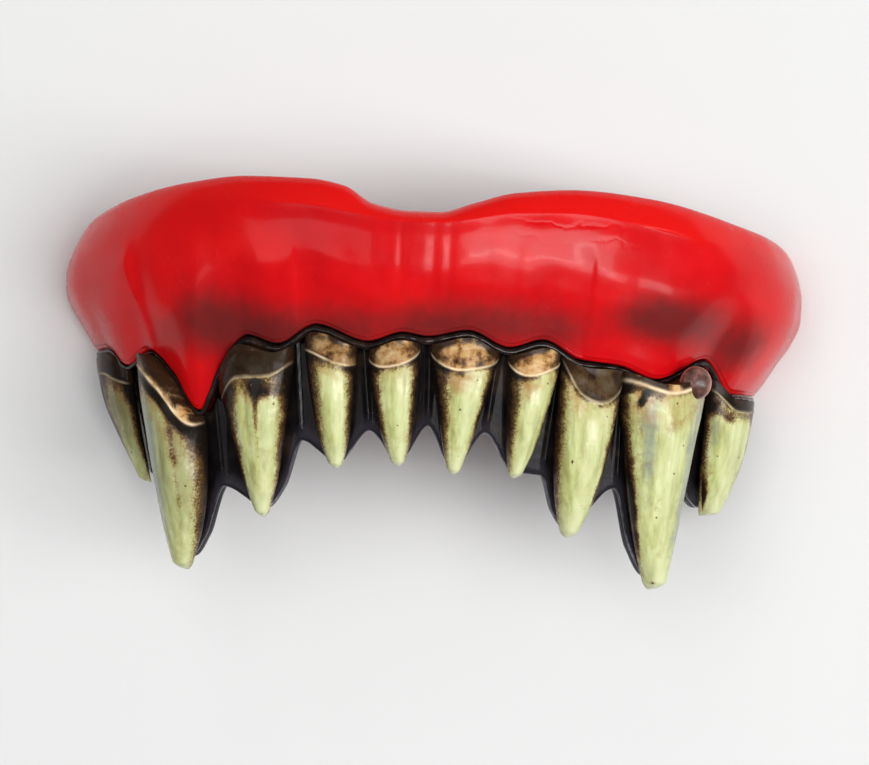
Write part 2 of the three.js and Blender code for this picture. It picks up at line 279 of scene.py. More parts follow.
# Single marks on the teeth: which tooth, where across (-1 left to 1 right) and down its length, how far the
# mark spreads each way, how much it leans to the right as it falls, and how dark it is.
MARKS = table(
    "tooth across down wide high leans dark",
    ("fang_right_4", -0.42, 0.1, 0.09, 0.05, -2.2, 1.3),
    ("fang_right_4", -0.85, 0.07, 0.07, 0.03, 0, 0.8),
    ("fang_right_4", -0.5, 0.3, 0.05, 0.12, 0.3, 0.35),
    ("fang_right_4", -0.15, 0.965, 0.35, 0.012, 0, 0.5),
    ("fang_right_4", 1, 0, 0.3, 0.03, 0, 1.5),
    ("fang_right_4", -0.9, 0.62, 0.16, 0.2, 0, 0.5),
    ("fang_right_3", -0.3, 0.56, 0.045, 0.014, 0, 0.8),
    ("fang_right_5", -0.75, 0.82, 0.35, 0.12, 0, 0.9),
    ("fang_right_5", -0.4, 0.2, 0.5, 0.05, 0, 0.6),
    ("fang_left_4", -0.1, 0.1, 0.8, 0.024, 0, 1.1),
    ("fang_left_4", -0.1, 0.3, 0.3, 0.12, 0, 0.3),
    ("fang_left_4", 0, 0.55, 0.25, 0.1, 0, 0.28),
    ("fang_left_4", -0.5, 0.72, 0.1, 0.12, 0, 0.35),
    ("fang_left_3", 0.2, 0.24, 0.4, 0.04, 0, 0.5),
    ("fang_left_3", -0.35, 0.5, 0.05, 0.2, 0.1, 0.25),
    ("fang_left_2", -0.3, 0.8, 0.12, 0.05, 0, 0.3),
)

# Brown airbrushed patches on the gum, which also stand in as painted shade where the dark strip behind shows
# through: at in degrees and height in millimetres, how far each spreads in the same units, and its strength.
SMUDGES_AND_SHADE = table(
    "at height wide high strength",
    (-50, -1.5, 5, 2.2, 0.35),
    (-38, 0, 8, 3.2, 0.95),
    (-26, -0.8, 7, 2.8, 0.75),
    (-14, -0.2, 8, 2.6, 0.7),
    (0, 0.4, 8, 2.6, 0.75),
    (12, 0.8, 8, 2.5, 0.75),
    (23, 0.5, 6, 2.5, 0.55),
    (38, 2.1, 8, 2.3, 0.8),
    (48, 1.6, 8, 2.5, 0.75),
    (62, -0.2, 8, 3, 0.85),
)

# Ridges and creases down the gum's face: at, how far each side falls off in millimetres, the stretch of the
# height it covers, how high it stands, and how many degrees it leans outward from bottom to top.
FLUTES = table(
    "at left right low high relief leans",
    (-76, 2.2, 2.2, 0, 0.8, 0.12, 0),
    (-53, 2.4, 1, -0.1, 0.75, 0.34, -5),
    (-40, 1.5, 1.2, 0.3, 0.85, 0.1, -1),
    (-27, 1.4, 1.4, 0.1, 0.6, 0.1, -1),
    (-21.5, 0.5, 1.6, 0.05, 0.66, -0.14, 0),
    (-9.5, 0.8, 0.5, 0.1, 0.8, 0.03, 0),
    (-4.6, 0.4, 0.5, 0.25, 0.98, -0.06, 0),
    (-1.9, 1.2, 1.2, 0.2, 0.95, 0.04, 0),
    (0.6, 0.5, 0.5, 0.25, 0.98, -0.06, 0),
    (3.2, 0.5, 0.4, 0.25, 0.98, -0.04, 0),
    (9, 0.8, 0.8, 0.1, 0.9, -0.05, 0),
    (15.2, 0.6, 0.5, 0.02, 0.74, 0.07, 0.5),
    (26.6, 1.6, 0.4, 0, 0.72, -0.2, 0),
    (39, 2.6, 6, 0.1, 0.95, -0.3, 2),
    (60, 2.4, 1.4, -0.05, 0.55, 0.1, 2),
    (76, 2.2, 1.6, 0.1, 0.8, 0.12, 0),
)

# How strongly the film folds between each two teeth, from left to right.
FOLDS = (0.6, 0.5, 0.7, 0.9, 1, 1, 1, 1, 0.6)


def along(rows, column, where, against="at"):
    """A smooth curve through a table's column, read against another, that stays within its rows."""
    x = np.array([row[against] for row in rows], float)
    y = np.array([row[column] for row in rows], float)
    rate = np.diff(y) / np.diff(x)
    slope = np.zeros(len(x))
    same_way = rate[:-1] * rate[1:] > 0
    before, after = rate[:-1][same_way], rate[1:][same_way]
    slope[1:-1][same_way] = 2 * before * after / (before + after)
    where = np.clip(where, x[0], x[-1])
    i = np.clip(np.searchsorted(x, where, side="right") - 1, 0, len(x) - 2)
    run = x[i + 1] - x[i]
    t = (where - x[i]) / run
    end = 3 * t**2 - 2 * t**3
    leave = (t**3 - 2 * t**2 + t) * run * slope[i]
    arrive = (t**3 - t**2) * run * slope[i + 1]
    return y[i] * (1 - end) + y[i + 1] * end + leave + arrive


def smoothstep(low, high, value):
    t = np.clip((value - low) / (high - low), 0, 1)
    return t * t * (3 - 2 * t)


def bump(value, centre, width):
    return np.exp(-(((value - centre) / width) ** 2))


def lerp(a, b, t):
    return a + (b - a) * t


def arch_point(at, height, out):
    """The point at an angle round the arch, at a height, and so far outward from the arch curve."""
    sine, cosine = np.sin(np.radians(at)), np.cos(np.radians(at))
    across, forward = sine / ARCH_HALF_WIDTH, cosine / ARCH_DEPTH
    size = np.hypot(across, forward)
    return np.stack(
        np.broadcast_arrays(
            ARCH_HALF_WIDTH * sine + out * across / size + SHIFT_X,
            height + SHIFT_Y,
            ARCH_DEPTH * cosine + out * forward / size,
        ),
        axis=-1,
    )


def stride(at):
    """Millimetres along the arch for each degree."""
    return np.radians(1) * np.hypot(
        ARCH_HALF_WIDTH * np.cos(np.radians(at)), ARCH_DEPTH * np.sin(np.radians(at))
    )


def gum_line(at):
    return GUM_HEIGHT * along(GUM_LINE, "line", at)


def bead_share(at):
    return along(GUM_LINE, "bead", at)


def collar_top(at):
    """The height where the teeth start, just under the margin bead."""
    return gum_line(at) - GAP / 2 - 1.9 * BEAD_RADIUS * bead_share(at)


def band_width(at):
    return RIM_BAND * along(GUM_RIM, "band", at)


def shoulder(at):
    return GUM_HEIGHT * along(GUM_RIM, "rim", at) - band_width(at)


def flare(at):
    at_end = np.where(np.asarray(at) < 0, GUM_FLARE_LEFT, GUM_FLARE_RIGHT)
    return lerp(GUM_FLARE_FRONT, at_end, np.sin(np.radians(at)) ** 2)


def gum_out(at, up):
    return flare(at) * along(GUM_PROFILE, "out", up, "up")


def root_ridge(at, up):
    fade = np.sin(np.pi * lerp(*ROOT_FADE, up))
    ridges = [
        tooth["root"]
        * bump((at - tooth["at"]) * stride(tooth["at"]), 0, ROOT_SPREAD * tooth["wide"] * TOOTH_WIDTH)
        for tooth in TEETH
    ]
    return ROOT_RELIEF * fade * np.max(ridges, axis=0)


def lean(at):
    return along(TEETH, "lean", at)


def strip_face(at, height):
    return -WEB_SET_BACK - lean(at) * (gum_line(at) - height)


def tip_at(tooth):
    return tooth["at"] + tooth["side"] * TOOTH_WIDTH / stride(tooth["at"])


def strip_edge_rows():
    """The film's lower edge: down behind each tip and up between two, fuller where a fin fills the side."""
    rows = [(-90, -END_WEB)]
    for tooth, following in zip(TEETH, TEETH[1:] + [None]):
        tip = (tip_at(tooth), -WEB_BEHIND_TIP * tooth["long"])
        rows.append(tip)
        if following:
            next_tip = (tip_at(following), -WEB_BEHIND_TIP * following["long"])
            web = ((tip[0] + next_tip[0]) / 2, -tooth["web"])
            if tooth["at"] < -FIN_FROM:
                rows.append((lerp(tip[0], web[0], 0.5), lerp(tip[1], web[1], 0.3)))
            rows.append(web)
            if following["at"] > FIN_FROM:
                rows.append((lerp(next_tip[0], web[0], 0.5), lerp(next_tip[1], web[1], 0.3)))
    return table("at edge", *rows, (90, -END_WEB))


STRIP_EDGE = strip_edge_rows()


def strip_edge(at):
    return TOOTH_LENGTH * along(STRIP_EDGE, "edge", at)


def rough(points, size, seed, octaves=3):
    """Fractal noise at each point, about -1 to 1, with lumps of the given size in millimetres."""
    shift = Vector((seed * 7.3, seed * 3.1, seed * 5.7))
    flat = points.reshape(-1, 3) / size
    values = [noise.fractal(Vector(p) + shift, 1.0, 2.0, octaves) for p in flat]
    return np.array(values).reshape(points.shape[:-1])


def in_scene(name, data):
    """A new object in the scene, at the origin."""
    made = bpy.data.objects.new(name, data)
    bpy.context.scene.collection.objects.link(made)
    return made


def mesh_object(name, vertices, faces, uvs, material, masks):
    """A mesh in metres at the origin, with its corner UVs and its point masks."""
    mesh = bpy.data.meshes.new(name)
    mesh.from_pydata((vertices * MM).tolist(), [], faces.tolist())
    layer = mesh.uv_layers.new(name="UVMap")
    layer.data.foreach_set("uv", uvs.astype(np.float32).ravel())
    for mask, values in masks.items():
        attribute = mesh.attributes.new(mask, "FLOAT", "POINT")
        attribute.data.foreach_set("value", values.astype(np.float32).ravel())
    mesh.polygons.foreach_set("use_smooth", [True] * len(mesh.polygons))
    mesh.materials.append(material)
    mesh.update()
    return in_scene(name, mesh)


def inside_out(vertices, faces):
    """Whether the faces of a closed body point inward."""
    a, b, c, d = (vertices[faces] - vertices.mean(0)).transpose(1, 0, 2)
    return (a * (np.cross(b, c) + np.cross(c, d))).sum() < 0


def sweep(name, rings, material, masks=None):
    """A closed body through rings of points, shaped [ring, point, xyz], with rungs across both ends.

    A ring has an even number of points. A mask is one value for each point, or less where it repeats.
    """
    count, size = rings.shape[:2]
    ring, k = np.meshgrid(np.arange(count - 1), np.arange(size), indexing="ij")
    here = ring * size + k
    following = ring * size + (k + 1) % size
    sides = np.stack([here, here + size, following + size, following], -1).reshape(-1, 4)
    u0, u1, v0, v1 = k / size, (k + 1) / size, ring / (count - 1), (ring + 1) / (count - 1)
    side_uvs = np.stack([u0, v0, u0, v1, u1, v1, u1, v0], -1).reshape(-1, 4, 2)
    rung = np.arange(size // 2 - 1)
    first = np.stack([rung, rung + 1, size - 2 - rung, size - 1 - rung], -1)
    last = (count - 1) * size + first[:, ::-1]
    vertices = rings.reshape(-1, 3)
    faces = np.concatenate([sides, first, last])
    uvs = np.concatenate([side_uvs, np.zeros((len(first) + len(last), 4, 2))])
    if inside_out(vertices, faces):
        faces = faces[:, ::-1]
        uvs = uvs[:, ::-1]
    masks = {mask: np.broadcast_to(values, (count, size)) for mask, values in (masks or {}).items()}
    return mesh_object(name, vertices, faces, uvs, material, masks)


class Nodes:
    """A node tree that is filled by short calls: a node's inputs are values or other nodes' outputs."""

    def __init__(self, tree):
        self.tree = tree

    def add(self, kind, settings=None, **inputs):
        node = self.tree.nodes.new(kind)
        for setting, value in (settings or {}).items():
            setattr(node, setting, value)
        for socket, value in inputs.items():
            self.feed(node, socket.replace("_", " "), value)
        return node

    def feed(self, node, socket, value):
        target = node.inputs[socket]
        if isinstance(value, bpy.types.NodeSocket):
            self.tree.links.new(value, target)
        else:
            target.default_value = value

    def math(self, operation, *values):
        node = self.add("ShaderNodeMath", {"operation": operation})
        for number, value in enumerate(values):
            self.feed(node, number, value)
        return node.outputs[0]

    def scaled(self, vector, scale):
        node = self.add("ShaderNodeVectorMath", {"operation": "SCALE"}, Vector=vector, Scale=scale)
        return node.outputs[0]

    def attribute(self, name):
        return self.add("ShaderNodeAttribute", {"attribute_name": name}).outputs["Fac"]

    def place(self):
        return self.add("ShaderNodeTexCoord").outputs["Object"]

    def stretched(self, vector, scale):
        return self.add("ShaderNodeMapping", Vector=vector, Scale=scale).outputs[0]

    def noise(self, vector, scale, detail=3, roughness=0.55):
        node = self.add(
            "ShaderNodeTexNoise", Vector=vector, Scale=scale, Detail=detail, Roughness=roughness
        )
        return node.outputs["Fac"]

    def between(self, value, low, high):
        """0 under low, 1 over high, smooth between."""
        node = self.add("ShaderNodeMapRange", {"interpolation_type": "SMOOTHSTEP"}, Value=value)
        self.feed(node, "From Min", low)
        self.feed(node, "From Max", high)
        return node.outputs[0]

    def mix(self, share, a, b):
        """The colour a where the share is 0, and b where it is 1."""
        node = self.add("ShaderNodeMix", {"data_type": "RGBA"}, Factor=share)
        for number, colour in ((6, a), (7, b)):
            plain = isinstance(colour, tuple)
            self.feed(node, number, (*colour, 1) if plain else colour)
        return node.outputs[2]

    def ramp(self, value, *stops):
        node = self.add("ShaderNodeValToRGB", Fac=value)
        elements = node.color_ramp.elements
        while len(elements) < len(stops):
            elements.new(0.5)
        for element, (position, colour) in zip(elements, stops):
            element.position = position
            element.color = (*colour, 1)
        return node.outputs["Color"]

    def group(self, tree, **inputs):
        return self.add("ShaderNodeGroup", {"node_tree": tree}, **inputs)


def shader_group(name, inputs, outputs):
    """An empty shader group with number outputs, and inputs that are a vector, if None, or a number."""
    tree = bpy.data.node_groups.new(name, "ShaderNodeTree")
    for socket, value in inputs.items():
        kind = "NodeSocketVector" if value is None else "NodeSocketFloat"
        made = tree.interface.new_socket(socket, in_out="INPUT", socket_type=kind)
        if value is not None:
            made.default_value = value
    for socket in outputs:
        tree.interface.new_socket(socket, in_out="OUTPUT", socket_type="NodeSocketFloat")
    shader = Nodes(tree)
    return shader, shader.add("NodeGroupInput").outputs, shader.add("NodeGroupOutput")


def airbrush_group():
    """A painted mask whose soft edge breaks up into fine spatter."""
    shader, given, made = shader_group(
        "Airbrushed edge", {"Vector": None, "Mask": 0, "Spatter": 0.35, "Cloud": 0.3}, ["Amount"]
    )
    place = given["Vector"]
    spatter = shader.math("SUBTRACT", shader.noise(place, 4600, 3, 0.85), 0.5)
    cloud = shader.math("SUBTRACT", shader.noise(place, 900), 0.5)
    edge = shader.math("MULTIPLY", shader.math("MULTIPLY", spatter, given["Spatter"]), 2)
    lump = shader.math("MULTIPLY", shader.math("MULTIPLY", cloud, given["Cloud"]), 2)
    broken = shader.math("ADD", given["Mask"], shader.math("ADD", edge, lump))
    live = shader.between(given["Mask"], 0.01, 0.12)
    shader.feed(made, "Amount", shader.math("MULTIPLY", shader.between(broken, 0.05, 1), live))
    return shader.tree


def moulding_group():
    """The faint orange peel and fine scratches of cast, lacquered plastic: its height and its wear."""
    shader, given, made = shader_group(
        "Cast surface", {"Vector": None, "Peel": 0.5, "Scratches": 0.3}, ["Height", "Wear"]
    )
    place = given["Vector"]
    peel = shader.math("MULTIPLY", shader.noise(place, 1400, 2, 0.5), given["Peel"])
    lines = shader.noise(shader.stretched(place, (9000, 700, 9000)), 1, 1, 0.5)
    scratch = shader.math("MULTIPLY", shader.between(lines, 0.6, 0.75), given["Scratches"])
    dull = shader.between(shader.noise(place, 260), 0.4, 0.8)
    shader.feed(made, "Height", shader.math("SUBTRACT", peel, scratch))
    shader.feed(made, "Wear", shader.math("ADD", scratch, dull))
    return shader.tree


def speckle_group():
    """Small round paint specks, scattered at random."""
    shader, given, made = shader_group(
        "Paint specks", {"Vector": None, "Spacing": 900, "Share": 0.3, "Size": 0.25}, ["Specks"]
    )
    cells = shader.add(
        "ShaderNodeTexVoronoi", Vector=given["Vector"], Scale=given["Spacing"], Randomness=1
    )
    dot = shader.math("LESS_THAN", cells.outputs["Distance"], given["Size"])
    parts = shader.add("ShaderNodeSeparateColor", Color=cells.outputs["Color"])
    chosen = shader.math("LESS_THAN", parts.outputs[0], given["Share"])
    shader.feed(made, "Specks", shader.math("MULTIPLY", dot, chosen))
    return shader.tree


AIRBRUSH = airbrush_group()
CAST_SURFACE = moulding_group()
SPECKS = speckle_group()


def new_material(name):
    material = bpy.data.materials.new(name)
    material.use_nodes = True
    material.node_tree.nodes.clear()
    shader = Nodes(material.node_tree)
    surface = shader.add("ShaderNodeBsdfPrincipled")
    shader.add("ShaderNodeOutputMaterial", Surface=surface.outputs[0])
    return material, shader, surface


def set_values(surface, **values):
    """Set the sockets of the Principled shader that stay the same all over the piece."""
    for socket, value in values.items():
        surface.inputs[socket.replace("_", " ")].default_value = value


def cast_surface(shader, surface, place, peel, scratches, smoothest, wear):
    """Feed the roughness of cast plastic, its smoothest and how much wear adds, and give its relief."""
    cast = shader.group(CAST_SURFACE, Vector=place, Peel=peel, Scratches=scratches)
    gloss = shader.math("MULTIPLY_ADD", cast.outputs["Wear"], wear, smoothest)
    shader.feed(surface, "Roughness", gloss)
    return cast.outputs["Height"]


def feed_bump(shader, surface, height, strength, distance):
    node = shader.add("ShaderNodeBump", Strength=strength, Distance=distance, Height=height)
    shader.feed(surface, "Normal", node.outputs[0])


def furrows(shader, place):
    """Fine wavy furrows across the gum, one value over the surface."""
    waves = shader.add(
        "ShaderNodeTexWave",
        {"bands_direction": "Y"},
        Vector=place,
        Scale=190,
        Distortion=7,
        Detail=3,
        Detail_Scale=2.2,
    )
    return shader.math("POWER", waves.outputs["Fac"], 5)


def red_gum():
    """Translucent red vinyl, wet, browned over the gum line by airbrush and painted shade, rim painted
    lighter.
    """
    material, shader, surface = new_material("red_gum")
    place = shader.place()
    red = shader.ramp(
        shader.noise(place, 150),
        (0.3, (0.54, 0.002, 0.005)),
        (0.5, (0.62, 0.003, 0.006)),
        (0.75, (0.74, 0.006, 0.007)),
    )
    # Painted light: the rim band gets a lighter red, standing for how it looks where it faces up.
    bright = shader.mix(shader.attribute("rim"), red, (0.7, 0.006, 0.005))
    # Painted shade: the smudge mask browns the gum over the gum line, partly airbrush and partly the dark
    # strip showing through.
    painted = shader.attribute("smudge_and_shade")
    smudge_and_shade = shader.group(AIRBRUSH, Vector=place, Mask=painted, Spatter=0.02, Cloud=0.16)
    browned_and_shaded = shader.mix(shader.math("MULTIPLY", smudge_and_shade.outputs[0], 0.85), bright, (0.09, 0.016, 0.015))
    shader.feed(surface, "Base Color", browned_and_shaded)
    relief = cast_surface(shader, surface, place, peel=0.4, scratches=0.1, smoothest=0.22, wear=0.1)
    wrinkle = shader.math("MULTIPLY", furrows(shader, place), shader.attribute("creases"))
    height = shader.math("SUBTRACT", relief, shader.math("MULTIPLY", wrinkle, 2.2))
    feed_bump(shader, surface, height, 0.3, 0.00006)
    set_values(
        surface,
        Specular_IOR_Level=0.18,
        Subsurface_Weight=0.3,
        Subsurface_Radius=(1, 0.12, 0.08),
        Subsurface_Scale=0.0014,
        Coat_IOR=1.4,
        Coat_Weight=0.14,
        Coat_Roughness=0.05,
    )
    return material


def bare_ivory(shader, place, streaks, grime):
    """Greenish ivory, grimy in spots, with a painted highlight, brown and painted shade, greyed and rusted
    by its masks.
    """
    tone = shader.ramp(
        streaks, (0.3, (0.36, 0.36, 0.125)), (0.48, (0.53, 0.56, 0.225)), (0.7, (0.7, 0.74, 0.39))
    )
    dirty = shader.mix(shader.between(grime, 0.54, 0.74), tone, (0.38, 0.31, 0.1))
    # Painted highlight: the pale mask lightens the ivory right of the middle, where the light strikes, and
    # at the tip.
    ivory = shader.mix(shader.attribute("pale_tip_and_highlight"), dirty, (0.74, 0.77, 0.46))
    # Brown paint and painted shade: the shade mask darkens the teeth turned from the light, most toward the
    # collar.
    shaded = shader.mix(shader.attribute("shade"), ivory, (0.09, 0.06, 0.035))
    grey = shader.group(AIRBRUSH, Vector=place, Mask=shader.attribute("grey"), Spatter=0.3, Cloud=0.6)
    cool = shader.mix(shader.math("MULTIPLY", grey.outputs[0], 0.75), shaded, (0.22, 0.25, 0.23))
    rust = shader.math("MULTIPLY", shader.attribute("rust"), shader.between(grime, 0.3, 0.6))
    return shader.mix(rust, cool, (0.42, 0.17, 0.05))


def painted_collar(shader, place, brown):
    """The collar's mottled cream and brown, black where it isn't bright, and darkened by the brown."""
    mottled = shader.ramp(
        shader.noise(place, 760, 4, 0.65),
        (0.32, (0.04, 0.018, 0.008)),
        (0.42, (0.24, 0.11, 0.035)),
        (0.52, (0.58, 0.33, 0.13)),
        (0.68, (0.74, 0.55, 0.3)),
    )
    collar = shader.mix(shader.attribute("bright"), (0.014, 0.008, 0.005), mottled)
    return shader.mix(brown, collar, (0.03, 0.014, 0.007))


def stained_ivory():
    """Greenish ivory with brown paint in the valleys, at the necks and down the sides, lacquered."""
    material, shader, surface = new_material("stained_ivory")
    place = shader.place()
    streaks = shader.noise(shader.stretched(place, (1300, 150, 1300)), 1, 3, 0.6)
    grime = shader.noise(place, 520, 4, 0.65)
    stain = shader.group(
        AIRBRUSH, Vector=place, Mask=shader.attribute("stain"), Spatter=0.42, Cloud=0.2
    )
    brown = stain.outputs[0]
    depth = shader.ramp(
        brown,
        (0, (0.55, 0.46, 0.18)),
        (0.28, (0.3, 0.2, 0.065)),
        (0.6, (0.1, 0.052, 0.02)),
        (0.95, (0.012, 0.008, 0.006)),
    )
    ivory = bare_ivory(shader, place, streaks, grime)
    crown = shader.mix(shader.between(brown, 0, 0.55), ivory, depth)
    on_collar = shader.attribute("collar")
    stained = shader.mix(on_collar, crown, painted_collar(shader, place, brown))
    # Painted highlight: cream along the collar's ledge, where its lower edge would catch the light.
    ledge = shader.mix(shader.attribute("ledge"), stained, (0.95, 0.74, 0.48))
    specks = shader.group(SPECKS, Vector=place, Spacing=1500, Share=0.07, Size=0.16)
    speckled = shader.mix(shader.math("MULTIPLY", specks.outputs[0], 0.8), ledge, (0.09, 0.05, 0.02))
    shader.feed(surface, "Base Color", speckled)
    relief = cast_surface(shader, surface, place, peel=0.35, scratches=0.35, smoothest=0.22, wear=0.14)
    height = shader.math("ADD", relief, shader.math("MULTIPLY", streaks, 0.9))
    feed_bump(shader, surface, height, 0.3, 0.00008)
    painted = shader.math("MULTIPLY", shader.math("MAXIMUM", brown, on_collar), 0.4)
    shader.feed(surface, "Coat Weight", shader.math("SUBTRACT", 0.45, painted))
    set_values(
        surface,
        Specular_IOR_Level=0.12,
        Subsurface_Weight=0.1,
        Subsurface_Radius=(1, 0.8, 0.4),
        Subsurface_Scale=0.0005,
        Coat_Roughness=0.12,
    )
    return material


def smoked_film():
    """Clear plastic painted smoky black, clearer and greyer where it is thin."""
    material, shader, surface = new_material("smoked_film")
    place = shader.place()
    thin = shader.attribute("thin")
    tint = shader.ramp(
        shader.noise(place, 420, 4),
        (0.35, (0.005, 0.004, 0.005)),
        (0.55, (0.012, 0.009, 0.009)),
        (0.75, (0.04, 0.025, 0.016)),
    )
    greyed = shader.mix(shader.math("MULTIPLY", thin, 0.5), tint, (0.04, 0.034, 0.05))
    shader.feed(surface, "Base Color", greyed)
    shader.feed(surface, "Alpha", shader.math("SUBTRACT", 1, shader.math("MULTIPLY", thin, 0.18)))
    relief = cast_surface(shader, surface, place, peel=0.6, scratches=0.3, smoothest=0.1, wear=0.1)
    feed_bump(shader, surface, relief, 0.3, 0.00008)
    set_values(surface, Specular_IOR_Level=0.05, Coat_Weight=0.07, Coat_Roughness=0.05)
    return material


def black_lacquer():
    """The margin bead: black paint laid on thick, with a wet shine."""
    material, shader, surface = new_material("black_lacquer")
    place = shader.place()
    tone = shader.ramp(
        shader.noise(place, 700), (0.4, (0.006, 0.004, 0.004)), (0.7, (0.028, 0.014, 0.009))
    )
    shader.feed(surface, "Base Color", tone)
    relief = cast_surface(shader, surface, place, peel=0.7, scratches=0.1, smoothest=0.2, wear=0.08)
    feed_bump(shader, surface, relief, 0.35, 0.0001)
    set_values(surface, Specular_IOR_Level=0.25, Coat_Weight=0.2, Coat_Roughness=0.09)
    return material


def film_edge():
    """The film's rolled edge, where the paint is thin and the clear plastic shows lilac grey."""
    material, shader, surface = new_material("film_edge")
    tone = shader.ramp(
        shader.noise(shader.place(), 400),
        (0.4, (0.02, 0.017, 0.02)),
        (0.58, (0.1, 0.09, 0.12)),
        (0.75, (0.4, 0.38, 0.42)),
    )
    shader.feed(surface, "Base Color", tone)
    set_values(surface, Roughness=0.15, Coat_Weight=1, Coat_Roughness=0.05)
    return material


def nub_plastic():
    """Clear plastic over brown paint: dark in the middle, with a painted pink highlight where it curves
    away.
    """
    material, shader, surface = new_material("nub_plastic")
    tone = shader.ramp(
        shader.noise(shader.place(), 900),
        (0.38, (0.05, 0.024, 0.018)),
        (0.55, (0.11, 0.05, 0.04)),
        (0.7, (0.26, 0.12, 0.1)),
    )
    # Painted highlight: pink and light at the rim, where the surface turns away from view.
    facing = shader.add("ShaderNodeLayerWeight", Blend=0.35).outputs["Facing"]
    rim_highlighted = shader.mix(shader.between(facing, 0.25, 0.75), tone, (0.62, 0.3, 0.24))
    shader.feed(surface, "Base Color", rim_highlighted)
    set_values(
        surface, Roughness=0.3, Specular_IOR_Level=0.3, Coat_Weight=0.25, Coat_Roughness=0.1
    )
    return material


RED_GUM = red_gum()
STAINED_IVORY = stained_ivory()
SMOKED_FILM = smoked_film()
BLACK_LACQUER = black_lacquer()
FILM_EDGE = film_edge()
NUB_PLASTIC = nub_plastic()


def flutes(at, up):
    """The relief of all the ridges and creases at once."""
    total = 0
    for flute in FLUTES:
        away = (at - flute["at"] - flute["leans"] * up) * stride(flute["at"])
        side = np.where(away < 0, flute["left"], flute["right"])
        reach = smoothstep(flute["low"] - 0.1, flute["low"] + 0.12, up)
        reach = reach * smoothstep(flute["high"] + 0.14, flute["high"] - 0.1, up)
        total = total + flute["relief"] * np.exp(-((away / side) ** 2)) * reach
    return total


def softened(rings, rounds):
    """The rings with each point drawn toward the middle of its two neighbours, round after round."""
    soft = rings.copy()
    for _ in range(rounds):
        soft[:, 1:-1] += 0.5 * ((soft[:, :-2] + soft[:, 2:]) / 2 - soft[:, 1:-1])
    return soft


def smudge_and_shade_strength(at, height):
    """Strength of the brown airbrushed patches, with the painted shade where the strip lies behind the gum.
    """
    total = 0
    for patch in SMUDGES_AND_SHADE:
        across = bump(at, patch["at"], patch["wide"])
        total = total + patch["strength"] * across * bump(height, patch["height"], patch["high"])
    return np.clip(total, 0, 1)


def end_softness(at):
    """0 in the middle, where the gum's shoulder is crisp, and 1 toward the ends, where it is rounded."""
    return 1 - smoothstep(-42, -20, at) * smoothstep(60, 44, at)


def column(start, end, count):
    return np.linspace(start, end, count)[:, None]


def row(start, end, count):
    return np.linspace(start, end, count)[None, :]


def gum_outer(at):
    """The gum's outer side: its rounded lower edge, its fluted face and its sloping rim band."""
    line, foot = gum_line(at), shoulder(at)
    turn = row(0, np.pi / 2, GUM_EDGE_ROWS + 1)[:, :-1]
    up = row(0, 1, GUM_FACE_ROWS)
    step = row(0, RIM_PROFILE[-1]["step"], GUM_RIM_ROWS + 1)[:, 1:]
    edge_height = line + GUM_EDGE_ROUND * (1 - np.cos(turn))
    edge = arch_point(at, edge_height, GUM_EDGE_ROUND * (np.sin(turn) - 1))
    height = np.maximum(lerp(line, foot, up), line + GUM_EDGE_ROUND)
    face = arch_point(at, height, gum_out(at, up) + root_ridge(at, up) + flutes(at, up))
    band_up = along(RIM_PROFILE, "up", step, "step")
    inward = along(RIM_PROFILE, "inward", step, "step")
    rim = arch_point(at, foot + band_up * band_width(at), gum_out(at, 1) - inward * RIM_DEPTH)
    return np.concatenate([edge, face, rim], axis=1)


def uneven_gum(at, outer):
    """The outer side with its shoulder rounded toward the ends, and with slow swells all over."""
    rows = np.arange(outer.shape[1])[None, :]
    near_shoulder = bump(rows, GUM_EDGE_ROWS + GUM_FACE_ROWS, SHOULDER_ROWS)
    soft = (end_softness(at) * near_shoulder)[..., None]
    outer = lerp(outer, softened(outer, SHOULDER_ROUNDS), soft)
    away = outer - arch_point(at, gum_line(at), -12)
    away[..., 1] = 0
    away /= np.linalg.norm(away, axis=-1, keepdims=True)
    return outer + away * rough(outer, SWELL_SIZE, SWELL_SEED, 2)[..., None] * SWELL_HEIGHT


def gum_masks(at, rings, up):
    """Where airbrush and painted shade brown the gum, where its rim is painted lighter, and where fine
    creases cross.
    """
    place = np.arange(rings.shape[1])[None, :]
    face_end = GUM_EDGE_ROWS + GUM_FACE_ROWS
    on_face = (place < face_end).astype(float)
    in_band = (place >= face_end - 1) & (place < face_end + GUM_RIM_ROWS)
    past_face = up + np.where(in_band, (place - face_end) / GUM_RIM_ROWS * 2, 0)
    return {
        # Painted shade as well as airbrush: the strip behind darkens the gum's face here.
        "smudge_and_shade": smudge_and_shade_strength(at, rings[..., 1] - SHIFT_Y) * on_face,
        # Painted light: the rim mask marks the upward rim band for a lighter red.
        "rim": lerp(in_band, 0.9 * smoothstep(0.5, 1.4, past_face), end_softness(at)),
        "creases": bump(at, 24, 9) * bump(up, 0.88, 0.09) * on_face,
    }


def gum_shell():
    """The gum plate's wall: up its outer side and down its plain inner face."""
    at = column(-90, 90, GUM_COLUMNS)
    inner_up = row(0.95, 0, GUM_INNER_ROWS)
    inner_height = lerp(gum_line(at), shoulder(at), inner_up)
    inner = arch_point(at, inner_height, gum_out(at, inner_up) - GUM_WALL)
    rings = np.concatenate([uneven_gum(at, gum_outer(at)), inner], axis=1)
    edge_up = np.zeros((1, GUM_EDGE_ROWS))
    rim_up = np.ones((1, GUM_RIM_ROWS))
    up = np.concatenate([edge_up, row(0, 1, GUM_FACE_ROWS), rim_up, inner_up], axis=1)
    piece = sweep("gum_shell", rings, RED_GUM, gum_masks(at, rings, up))
    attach(piece, "root")
    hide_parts("gum_plate")
    return piece


